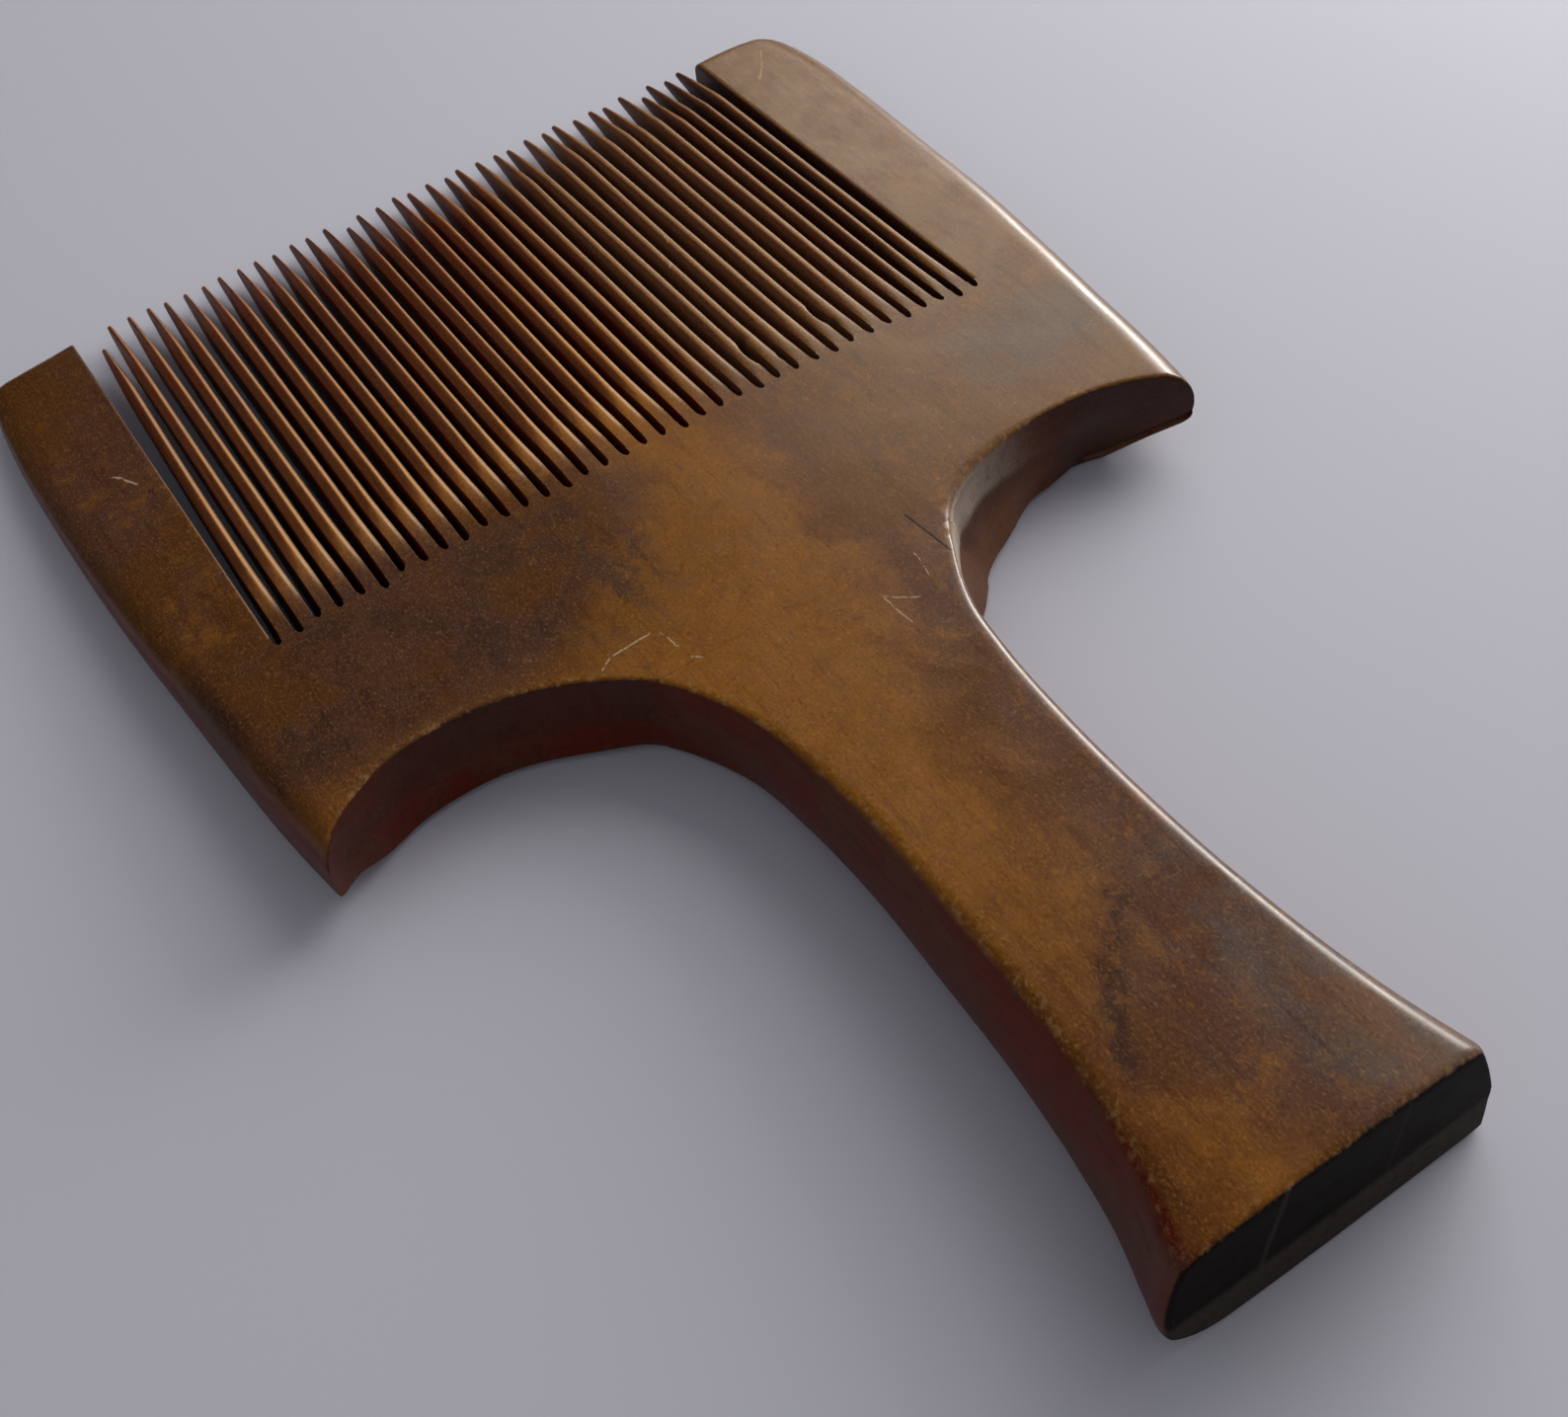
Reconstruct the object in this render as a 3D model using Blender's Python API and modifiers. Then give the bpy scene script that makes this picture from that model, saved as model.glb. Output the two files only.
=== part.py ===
"""A hand-carved wooden comb with a broad handle, cut from one board.

X runs across the teeth, Y along the handle towards the tooth tips, and Z
through the thickness.  The comb lies on its flat lower face at z = 0, and its
origin is the middle of its bounding box, at the bottom.  The board is a wedge:
thick at the butt of the handle and thin at the tooth tips.  Its regions are
separate solids, parted by a hairline gap where the wood really runs through.
"""
import bpy
import bmesh
from math import cos, pi, sin

MM = 0.001

# Driving dimensions, in metres.
TOOTH_COUNT = 36
PITCH = 2.6 * MM
KERF = 0.95 * MM
TOOTH_LENGTH = 68.8 * MM
TAIL_LENGTH = 110.2 * MM
ROOT_THICKNESS = 9.7 * MM
BUTT_THICKNESS = 18.9 * MM
ROOT_ARC_RADIUS = 810 * MM
FIELD_X = -0.65 * MM
SEAM_GAP = 0.3 * MM
EDGE_BEVEL = 0.9 * MM

# Tooth shape, along the tooth from its root.
SHOULDER_START = 6.0 * MM
SHOULDER_END = 7.8 * MM
POINT_START = 58.0 * MM
SQUARE_CHAMFER = 0.12 * MM
RIDGE_CHAMFER_WIDTH = 0.5 * MM
RIDGE_CHAMFER_DEPTH = 1.1 * MM
TIP_HALF_WIDTH = 0.2 * MM
TIP_HALF_THICKNESS = 0.45 * MM

# Derived places.
ROOT_Y = (TAIL_LENGTH - TOOTH_LENGTH) / 2
BUTT_Y = ROOT_Y - TAIL_LENGTH
TAPER = (BUTT_THICKNESS - ROOT_THICKNESS) / TAIL_LENGTH
FIELD_HALF_WIDTH = TOOTH_COUNT / 2 * PITCH + KERF / 2
TOOTH_HALF_WIDTH = (PITCH - KERF) / 2

SMOOTH = "AUTO"
CORNER = "VECTOR"

# Half widths of the handle, and the radius of its long edges, at distances
# behind the root line: (distance, left, right, radius) in millimetres.
HANDLE_STATIONS = (
    (32.0, 18.0, 19.3, 0.6),
    (36.0, 15.6, 16.7, 0.7),
    (42.3, 12.9, 13.9, 1.0),
    (50.0, 11.5, 12.6, 2.0),
    (60.0, 10.8, 11.8, 3.2),
    (72.5, 10.9, 11.5, 4.2),
    (85.5, 11.6, 12.4, 5.0),
    (94.0, 12.8, 13.6, 5.4),
    (101.0, 14.6, 15.1, 5.8),
    (107.0, 17.1, 17.2, 6.2),
)
BUTT_HALF_WIDTHS = (18.0 * MM, 18.3 * MM)
BUTT_ROUND = 1.2 * MM


def clear_scene():
    """Remove whatever the scene holds."""
    for old in list(bpy.data.objects):
        bpy.data.objects.remove(old, do_unlink=True)


def make_collection(name):
    """Make the collection that holds the comb."""
    collection = bpy.data.collections.new(name)
    bpy.context.scene.collection.children.link(collection)
    return collection


def wood(name, colour, roughness):
    """Return a worn, oiled wood material."""
    material = bpy.data.materials.new(name)
    material.use_nodes = True
    shader = material.node_tree.nodes["Principled BSDF"]
    shader.inputs["Base Color"].default_value = (*colour, 1.0)
    shader.inputs["Roughness"].default_value = roughness
    shader.inputs["Metallic"].default_value = 0.0
    return material


def root_y(x):
    """Return where the kerfs end: a shallow arc across the board."""
    return ROOT_Y - (x - FIELD_X) ** 2 / (2 * ROOT_ARC_RADIUS)


def thickness(y):
    """Return the board's thickness, which grows evenly towards the butt."""
    return ROOT_THICKNESS + TAPER * (ROOT_Y - y)


def knot(x_mm, from_root_mm, kind=SMOOTH):
    """Return an outline knot from its distance in front of the root line."""
    return (x_mm * MM, ROOT_Y + from_root_mm * MM, kind)


def root_arc(xs, offset):
    """Return outline knots along the root arc, the first and last as corners."""
    knots = []
    for x in xs:
        kind = CORNER if x in (xs[0], xs[-1]) else SMOOTH
        knots.append((x, root_y(x) + offset, kind))
    return knots


def add_node(name, mesh, material, collection):
    """Put a mesh in the comb's collection under its own name."""
    mesh.name = name
    mesh.materials.clear()
    mesh.materials.append(material)
    node = bpy.data.objects.new(name, mesh)
    collection.objects.link(node)
    return node


def shade_round(node):
    """Shade a piece smooth and keep its real corners sharp."""
    node.data.shade_smooth()
    node.data.set_sharp_from_angle(angle=pi / 5)


def board_piece(name, knots, material, collection):
    """Cut a piece of the board to an outline and taper its thickness."""
    curve = bpy.data.curves.new(name + "_outline", "CURVE")
    curve.dimensions = "2D"
    curve.fill_mode = "BOTH"
    curve.extrude = 0.5 * ROOT_THICKNESS
    curve.resolution_u = 5
    spline = curve.splines.new("BEZIER")
    spline.bezier_points.add(len(knots) - 1)
    spline.use_cyclic_u = True
    for point, (x, y, kind) in zip(spline.bezier_points, knots):
        point.co = (x, y, 0.0)
        point.handle_left_type = kind
        point.handle_right_type = kind
    outline = bpy.data.objects.new(name + "_outline", curve)
    collection.objects.link(outline)
    graph = bpy.context.evaluated_depsgraph_get()
    mesh = bpy.data.meshes.new_from_object(outline.evaluated_get(graph))
    bpy.data.objects.remove(outline, do_unlink=True)

    shape = bmesh.new()
    shape.from_mesh(mesh)
    bmesh.ops.remove_doubles(shape, verts=shape.verts, dist=0.01 * MM)
    for vertex in shape.verts:
        vertex.co.z = thickness(vertex.co.y) if vertex.co.z > 0 else 0.0
    bmesh.ops.recalc_face_normals(shape, faces=shape.faces)
    upper = [face for face in shape.faces if min(v.co.z for v in face.verts) > 0]
    lower = [face for face in shape.faces if max(v.co.z for v in face.verts) == 0]
    bmesh.ops.dissolve_faces(shape, faces=upper)
    bmesh.ops.dissolve_faces(shape, faces=lower)
    shape.to_mesh(mesh)
    shape.free()

    node = add_node(name, mesh, material, collection)
    bevel = node.modifiers.new("worn_edges", "BEVEL")
    bevel.width = EDGE_BEVEL
    bevel.segments = 2
    bevel.limit_method = "ANGLE"
    bevel.angle_limit = pi / 4
    shade_round(node)
    return node


def loft(name, rings, material, collection):
    """Skin a row of closed rings that have the same number of points."""
    shape = bmesh.new()
    loops = [[shape.verts.new(point) for point in ring] for ring in rings]
    count = len(loops[0])
    for near, far in zip(loops, loops[1:]):
        for i in range(count):
            j = (i + 1) % count
            shape.faces.new((near[i], near[j], far[j], far[i]))
    shape.faces.new(loops[0])
    shape.faces.new(loops[-1])
    bmesh.ops.recalc_face_normals(shape, faces=shape.faces)
    mesh = bpy.data.meshes.new(name)
    shape.to_mesh(mesh)
    shape.free()
    return add_node(name, mesh, material, collection)


def rounded_section(y, left, right, low, high, radius, steps=5):
    """Return a ring: a rectangle across the handle with rounded corners."""
    centres = (
        (right - radius, high - radius, 0.0),
        (left + radius, high - radius, pi / 2),
        (left + radius, low + radius, pi),
        (right - radius, low + radius, 3 * pi / 2),
    )
    ring = []
    for x, z, start in centres:
        for step in range(steps + 1):
            angle = start + pi / 2 * step / steps
            ring.append((x + radius * cos(angle), y, z + radius * sin(angle)))
    return ring


def chamfered_section(x, y, half_width, low, high, cut_x, cut_z):
    """Return a ring: a rectangle across a tooth with its corners cut off."""
    return [
        (x + half_width, y, low + cut_z),
        (x + half_width, y, high - cut_z),
        (x + half_width - cut_x, y, high),
        (x - half_width + cut_x, y, high),
        (x - half_width, y, high - cut_z),
        (x - half_width, y, low + cut_z),
        (x - half_width + cut_x, y, low),
        (x + half_width - cut_x, y, low),
    ]


def add_tooth(number, material, collection):
    """Make one tooth: square at its root, ridged and then pointed."""
    x = FIELD_X + (number - (TOOTH_COUNT + 1) / 2) * PITCH
    base = root_y(x)
    rings = []
    square = (SQUARE_CHAMFER, SQUARE_CHAMFER)
    ridge = (RIDGE_CHAMFER_WIDTH, RIDGE_CHAMFER_DEPTH)
    stations = (
        (SEAM_GAP, square),
        (SHOULDER_START, square),
        (SHOULDER_END, ridge),
        (POINT_START, ridge),
    )
    for distance, (cut_x, cut_z) in stations:
        y = base + distance
        high = thickness(y)
        rings.append(chamfered_section(x, y, TOOTH_HALF_WIDTH, 0.0, high, cut_x, cut_z))
    tip = base + TOOTH_LENGTH
    middle = thickness(tip) / 2
    low = middle - TIP_HALF_THICKNESS
    high = middle + TIP_HALF_THICKNESS
    rings.append(
        chamfered_section(
            x, tip, TIP_HALF_WIDTH, low, high, TIP_HALF_WIDTH / 2, TIP_HALF_THICKNESS / 2
        )
    )
    loft(f"tooth_{number:02d}", rings, material, collection)


def add_end_guards(material, collection):
    """Make the two wide end teeth that protect the tooth field."""
    left_root = FIELD_X - FIELD_HALF_WIDTH
    right_root = FIELD_X + FIELD_HALF_WIDTH
    left = root_arc((-59.2 * MM, left_root), SEAM_GAP)
    left += [
        knot(-49.0, 66.6, CORNER),
        knot(-59.8, 64.8, CORNER),
        knot(-61.6, 62.4),
        knot(-62.1, 47.0),
        knot(-61.7, 26.0),
        knot(-60.4, 10.0),
    ]
    board_piece("end_guard_left", left, material, collection)
    right = root_arc((right_root, 58.5 * MM), SEAM_GAP)
    right += [
        knot(59.8, 13.0),
        knot(60.5, 28.0),
        knot(61.0, 46.0),
        knot(60.4, 60.4),
        knot(57.6, 66.0, CORNER),
        knot(46.3, 67.0, CORNER),
    ]
    board_piece("end_guard_right", right, material, collection)


def add_back(material, collection):
    """Make the solid field behind the teeth, with its two horns."""
    arc_xs = [x * MM for x in (58.5, 30.0, 0.0, -30.0, -59.2)]
    knots = root_arc(arc_xs, 0.0)
    knots += [
        knot(-58.0, -14.0),
        knot(-55.4, -30.8, CORNER),
        knot(-47.6, -25.0),
        knot(-38.4, -23.1),
        knot(-27.4, -25.2),
        knot(-18.0, -32.0, CORNER),
        knot(19.3, -32.0, CORNER),
        knot(23.5, -28.5),
        knot(29.3, -26.1),
        knot(38.4, -25.1),
        knot(47.5, -27.5),
        knot(54.2, -31.4, CORNER),
        knot(57.1, -13.0),
    ]
    board_piece("back", knots, material, collection)


def add_handle(material, collection):
    """Make the handle: a waisted neck that swells to a thick, rounded butt."""
    rings = []
    for distance, left, right, radius in HANDLE_STATIONS:
        y = ROOT_Y - distance * MM
        if not rings:
            y -= SEAM_GAP
        ring = rounded_section(y, -left * MM, right * MM, 0.0, thickness(y), radius * MM)
        rings.append(ring)
    left, right = BUTT_HALF_WIDTHS
    last_radius = HANDLE_STATIONS[-1][3] * MM
    full = BUTT_Y + BUTT_ROUND
    rings.append(rounded_section(full, -left, right, 0.0, thickness(full), last_radius))
    inset = BUTT_ROUND
    rings.append(
        rounded_section(
            BUTT_Y,
            -left + inset,
            right - inset,
            inset,
            thickness(BUTT_Y) - inset,
            last_radius - inset,
        )
    )
    shade_round(loft("handle", rings, material, collection))


def build_comb():
    """Build every region of the comb."""
    clear_scene()
    comb = make_collection("wide_tooth_comb")
    back_wood = wood("back_wood", (0.19, 0.105, 0.045), 0.42)
    handle_wood = wood("handle_wood", (0.20, 0.11, 0.045), 0.38)
    guard_wood = wood("guard_wood", (0.18, 0.11, 0.055), 0.45)
    tooth_wood = wood("tooth_wood", (0.21, 0.10, 0.04), 0.5)
    add_back(back_wood, comb)
    add_handle(handle_wood, comb)
    add_end_guards(guard_wood, comb)
    for number in range(1, TOOTH_COUNT + 1):
        add_tooth(number, tooth_wood, comb)


build_comb()
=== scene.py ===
"""Looks for the handled wooden comb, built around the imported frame.

The comb is one worn, hand-cut board.  Each region of the frame gets a finished
piece in its place, and all of them share one height field, so that the surface
runs on without a seam from the handle into the blade and out along the teeth.
"""
from math import cos, pi, radians, sin

import bmesh
import bpy
import numpy as np
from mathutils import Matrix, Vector


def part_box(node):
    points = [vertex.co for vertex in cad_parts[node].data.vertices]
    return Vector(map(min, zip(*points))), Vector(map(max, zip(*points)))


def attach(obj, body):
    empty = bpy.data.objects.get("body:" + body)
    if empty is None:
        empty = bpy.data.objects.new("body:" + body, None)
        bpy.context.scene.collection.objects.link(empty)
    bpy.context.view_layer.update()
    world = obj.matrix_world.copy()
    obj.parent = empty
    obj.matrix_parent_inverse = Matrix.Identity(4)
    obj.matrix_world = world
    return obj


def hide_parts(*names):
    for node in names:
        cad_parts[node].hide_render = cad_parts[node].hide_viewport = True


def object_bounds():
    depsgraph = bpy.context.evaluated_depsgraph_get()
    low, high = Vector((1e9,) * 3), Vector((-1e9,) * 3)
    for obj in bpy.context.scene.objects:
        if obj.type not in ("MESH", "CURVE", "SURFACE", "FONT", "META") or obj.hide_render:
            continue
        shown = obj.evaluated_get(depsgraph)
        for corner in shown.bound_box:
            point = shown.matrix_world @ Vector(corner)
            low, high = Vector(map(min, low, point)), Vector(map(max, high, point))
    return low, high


MM = 0.001

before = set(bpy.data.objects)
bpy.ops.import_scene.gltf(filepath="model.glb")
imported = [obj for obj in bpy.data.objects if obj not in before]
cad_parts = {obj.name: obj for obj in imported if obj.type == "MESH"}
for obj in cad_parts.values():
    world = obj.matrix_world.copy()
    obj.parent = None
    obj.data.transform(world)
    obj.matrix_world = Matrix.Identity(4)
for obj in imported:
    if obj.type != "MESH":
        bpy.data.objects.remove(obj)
frame_low, frame_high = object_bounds()

# ---------------------------------------------------------------- the frame
_, back_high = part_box("back")
handle_low, handle_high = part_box("handle")
first_low, first_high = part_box("tooth_01")
last_low, last_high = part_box("tooth_36")

TOOTH_COUNT = sum(1 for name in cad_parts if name.startswith("tooth_"))
FIRST_X = (first_low.x + first_high.x) / 2
LAST_X = (last_low.x + last_high.x) / 2
PITCH = (LAST_X - FIRST_X) / (TOOTH_COUNT - 1)
TOOTH_WIDTH = first_high.x - first_low.x
KERF = PITCH - TOOTH_WIDTH
FIELD_X = (FIRST_X + LAST_X) / 2
ROOT_Y = back_high.y
BUTT_Y = handle_low.y
TIP_Y = frame_high.y
TAIL_LENGTH = ROOT_Y - BUTT_Y
TOOTH_LENGTH = TIP_Y - ROOT_Y
ROOT_ARC_RADIUS = 810 * MM
ROOT_THICKNESS = 9.7 * MM
BUTT_ROUND = 1.2 * MM
TAPER = (handle_high.z - ROOT_THICKNESS) / (TAIL_LENGTH - BUTT_ROUND)

# ---------------------------------------------------------------- the shape
SEAM_FRONT = 1.0 * MM
NECK_SEAM = 32.0 * MM
SEAM_GAP = 0.008 * MM
SIDE_ROUND = 3.8 * MM
END_TOP = 108.75 * MM
CROWN_FALL = 1.1 * MM
CROWN_REACH = 18 * MM
GUARD_WARP = 1.7 * MM
LEAST_RADIUS = 0.35 * MM
LEAST_RADIUS_BELOW = 0.5 * MM
LEAST_THICKNESS = 0.4 * MM
SLOPE_STEP = 0.1 * MM
WEAR_WIDTH = 0.8 * MM

# Outer sides of the blade: (distance in front of the root line, x).
LEFT_SIDE = ((-34, -54.4), (-29.9, -55.2), (-20, -56.9), (-10, -58.1), (0, -59.2), (10, -60.3),
             (26, -61.5), (35, -61.9), (50, -62.1), (61.4, -61.4), (68, -60.4))
RIGHT_SIDE = ((-34, 53.7), (-30.4, 54.4), (-20, 56.1), (-13, 56.9), (0, 58.5), (13, 59.8),
              (28, 60.4), (46, 61.0), (55, 61.0), (61, 60.4), (68, 59.0))
# Tip ends of the guards: (x, distance in front of the root line).
LEFT_TIP = ((-63, 61.5), (-61.5, 63.0), (-60, 64.3), (-57, 65.0), (-53, 65.7), (-47, 66.8))
RIGHT_TIP = ((45, 66.9), (50, 67.3), (54.5, 67.1), (57.2, 66.3), (59, 64.3), (60, 61.5), (61, 56))
# Recesses under the blade: (x, distance in front of the root line).
LEFT_RECESS = ((-57, -33.2), (-54.9, -30.6), (-47.6, -25.1), (-38.4, -23.3), (-33, -23.8),
               (-27.4, -25.7), (-21.5, -29.0), (-18.0, -32.0), (-15.0, -36.8))
RIGHT_RECESS = ((16.6, -36.5), (19.3, -32.0), (23.5, -28.4), (29.3, -26.3), (38.4, -25.2),
                (47.5, -27.1), (54.4, -31.2), (57, -33.3))
# The handle's sides: (distance behind the root line, left x, right x).
HANDLE = ((28, -22.2, 23.9), (32, -18.0, 19.3), (36, -15.5, 16.7), (42.3, -12.8, 13.9),
          (50, -11.3, 12.5), (60, -10.3, 11.7), (72.5, -10.2, 11.5), (85.5, -10.6, 12.2),
          (94, -11.6, 13.2), (101, -13.1, 14.5), (106, -14.9, 15.8), (109, -16.2, 16.7),
          (112, -17.0, 17.7))
# Rounding of the handle's long edges, how far its sides swell, and how far the
# right side leans out: (distance behind the root line, upper left, upper right,
# lower left, lower right, swell on the left, swell on the right, lean).
HANDLE_EDGES = ((28, 0.5, 0.5, 0.8, 0.8, 0.0, 0.0, 0.0), (36, 0.5, 0.6, 1.2, 1.2, 0.5, 0.2, 0.0),
                (45, 0.6, 0.9, 2.0, 2.0, 1.2, 0.6, 0.0), (60, 0.7, 1.2, 3.2, 3.0, 1.9, 1.1, 0.0),
                (75, 0.8, 1.3, 4.2, 3.4, 2.2, 1.3, 0.1), (90, 1.0, 1.4, 5.0, 3.4, 2.1, 1.2, 0.8),
                (101, 1.4, 1.6, 6.0, 2.0, 1.7, 0.8, 3.0), (110, 2.2, 1.8, 6.0, 1.6, 1.1, 0.4, 4.6))
# Uneven sawing: how far the last kerfs stand nearer than a regular row.
KERF_DRIFT = 0.85 * MM
KERF_DRIFT_FROM = 36.0 * MM
KERF_DRIFT_TO = 45.5 * MM
# Where the swelling of the handle's sides starts and is full, as a share of the
# way from its middle line to its side.
SWELL_FROM = 0.35
SWELL_FULL = 0.95
# The sides' walls start and end inside the rounding of the faces' edges.
WALL_TOP = 0.5 * MM
WALL_ENDS = 1.4 * MM
# The butt's end leans out with depth, and flares below the saw's last cut.
END_LEAN = 0.8
END_CUT_DEPTH = 13
END_FLARE = 5.2
END_REACH = 3.5 * MM
# Inner corners of the end guards at the tip line.
GUARD_TIP_LEFT_X = -49.0 * MM
GUARD_TIP_RIGHT_X = 46.3 * MM
# The filed teeth.
RIDGE_FALL = 0.8 * MM
ROOT_ARRIS = 0.10 * MM
POINT_LENGTH = 10 * MM
THINNING_LENGTH = 12 * MM
FILED_FULLY = 16 * MM


class Smooth:
    """A smooth curve through one column of a knot table, straight beyond its ends."""

    def __init__(self, knots, column=1):
        self.places = np.array([knot[0] for knot in knots], float) * MM
        self.values = np.array([knot[column] for knot in knots], float) * MM
        self.slopes = np.gradient(self.values, self.places)

    def __call__(self, place):
        place = np.asarray(place, float)
        inside = np.clip(place, self.places[0], self.places[-1])
        i = np.clip(np.searchsorted(self.places, inside) - 1, 0, len(self.places) - 2)
        step = self.places[i + 1] - self.places[i]
        t = (inside - self.places[i]) / step
        value = (
            self.values[i] * (2 * t**3 - 3 * t**2 + 1)
            + self.slopes[i] * step * (t**3 - 2 * t**2 + t)
            + self.values[i + 1] * (3 * t**2 - 2 * t**3)
            + self.slopes[i + 1] * step * (t**3 - t**2)
        )
        end_slope = np.where(place < inside, self.slopes[0], self.slopes[-1])
        return value + end_slope * (place - inside)


left_side = Smooth(LEFT_SIDE)
right_side = Smooth(RIGHT_SIDE)
left_tip = Smooth(LEFT_TIP)
right_tip = Smooth(RIGHT_TIP)
left_recess = Smooth(LEFT_RECESS)
right_recess = Smooth(RIGHT_RECESS)
handle_left = Smooth(HANDLE)
handle_right = Smooth(HANDLE, 2)
edge_left, edge_right, low_left, low_right, swell_left, swell_right, lean_right = (
    Smooth(HANDLE_EDGES, column) for column in range(1, 8)
)


def smoothstep(low, high, value):
    """Rise smoothly from 0 at low to 1 at high."""
    t = np.clip((np.asarray(value, float) - low) / (high - low), 0, 1)
    return t * t * (3 - 2 * t)


def ripple(x, y, size, seed):
    """Return gentle hand-carved unevenness from -1 to 1, wave length near size."""
    total = 0.0
    for i in range(5):
        turn = 2.4 * i + seed
        wave = 2 * pi / (size * (0.7 + 0.17 * i))
        total = total + np.sin((x * cos(turn) + y * sin(turn)) * wave + 1.7 * i * seed)
    return total / 3.2


def root_y(x):
    """Return where the kerfs end: a shallow arc across the board."""
    return ROOT_Y - (x - FIELD_X) ** 2 / (2 * ROOT_ARC_RADIUS)


def kerf_x(index):
    """Return the middle of a kerf; the last ones were sawn a little early."""
    x = FIELD_X + (index - TOOTH_COUNT / 2) * PITCH
    return x - KERF_DRIFT * float(smoothstep(KERF_DRIFT_FROM, KERF_DRIFT_TO, x))


def board_top(x, y):
    """Return the height of the board's upper face before any edge is rounded."""
    ahead = y - ROOT_Y
    butt = smoothstep(-70 * MM, -109 * MM, ahead)
    crown = -butt * CROWN_FALL * (np.abs(x) / CROWN_REACH) ** 2.2
    wear = 0.05 * MM * ripple(x, y, 34 * MM, 1.3) + 0.008 * MM * ripple(x, y, 9 * MM, 4.1)
    return ROOT_THICKNESS - TAPER * ahead + crown + wear


def board_bottom(x, y):
    """Return the height of the lower face, which is nearly flat on the table."""
    warp = smoothstep(-28 * MM, -50 * MM, x) * smoothstep(-14 * MM, 12 * MM, y - ROOT_Y)
    return 0.05 * MM * (1 + ripple(x, y, 37 * MM, 2.2)) + GUARD_WARP * warp


def rounding(distance, across, down):
    """Return how far an elliptic edge has fallen at a distance from the edge."""
    t = 1 - np.clip(distance / across, 0, 1)
    return down * (1 - np.sqrt(np.clip(1 - t * t, 0, 1)))


class Edge:
    """A worn edge in plan: samples of a curve, with their tangents."""

    def __init__(self, xs, ys):
        self.points = np.stack([xs, ys], 1)
        tangent = np.gradient(self.points, axis=0)
        self.tangents = tangent / np.linalg.norm(tangent, axis=1)[:, None]

    def distance(self, x, y):
        """Return each point's distance from the curve and its nearest sample."""
        points = np.stack([np.ravel(x), np.ravel(y)], 1)
        nearest = np.empty(len(points), int)
        for start in range(0, len(points), 2000):
            part = points[start:start + 2000]
            gaps = part[:, None, :] - self.points[None, :, :]
            nearest[start:start + 2000] = (gaps**2).sum(2).argmin(1)
        gap = points - self.points[nearest]
        tangent = self.tangents[nearest]
        along = np.clip((gap * tangent).sum(1), -0.3 * MM, 0.3 * MM)
        rest = gap - tangent * along[:, None]
        return np.linalg.norm(rest, axis=1).reshape(np.shape(x)), nearest.reshape(np.shape(x))


def corner_x(side, recess, guess):
    """Return the x where an outer side runs into its recess."""
    x = guess
    for _ in range(40):
        x = float(side(recess(x)))
    return x


HORN_LEFT_X = corner_x(left_side, left_recess, -54.4 * MM)
HORN_RIGHT_X = corner_x(right_side, right_recess, 53.4 * MM)
NECK_LEFT_X = float(handle_left(NECK_SEAM))
NECK_RIGHT_X = float(handle_right(NECK_SEAM))

ahead_all = np.linspace(-36 * MM, 70 * MM, 900)
edge_outer_left = Edge(left_side(ahead_all), ROOT_Y + ahead_all)
edge_outer_right = Edge(right_side(ahead_all), ROOT_Y + ahead_all)
xs_left = np.linspace(HORN_LEFT_X - 2 * MM, NECK_LEFT_X, 500)
xs_right = np.linspace(NECK_RIGHT_X, HORN_RIGHT_X + 2 * MM, 500)
behind = np.linspace(NECK_SEAM, TAIL_LENGTH + 2 * MM, 700)
edge_rear_left = Edge(
    np.concatenate([xs_left, handle_left(behind)]),
    np.concatenate([ROOT_Y + left_recess(xs_left), ROOT_Y - behind]),
)
edge_rear_right = Edge(
    np.concatenate([xs_right[::-1], handle_right(behind)]),
    np.concatenate([ROOT_Y + right_recess(xs_right[::-1]), ROOT_Y - behind]),
)


def outer_sides(x, y, thick):
    """Return how far the outer sides' rounding lowers the top and lifts the bottom."""
    near_left, _ = edge_outer_left.distance(x, y)
    near_right, _ = edge_outer_right.distance(x, y)
    near = np.minimum(near_left, near_right)
    fall = rounding(near, SIDE_ROUND, np.minimum(4 * MM, 0.42 * thick))
    share = 1 - np.clip(near / (0.78 * thick), 0, 1)
    steep = np.where(x < 0, 0.27, 0.36)
    lift = steep * thick * share**1.25 + rounding(near, 1.1 * MM, 0.06 * thick)
    return fall, lift


def keep_apart(top, bottom, least):
    """Return the two faces with at least a least thickness between them."""
    middle = 0.5 * (top + bottom)
    return np.maximum(top, middle + least / 2), np.minimum(bottom, middle - least / 2)


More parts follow.
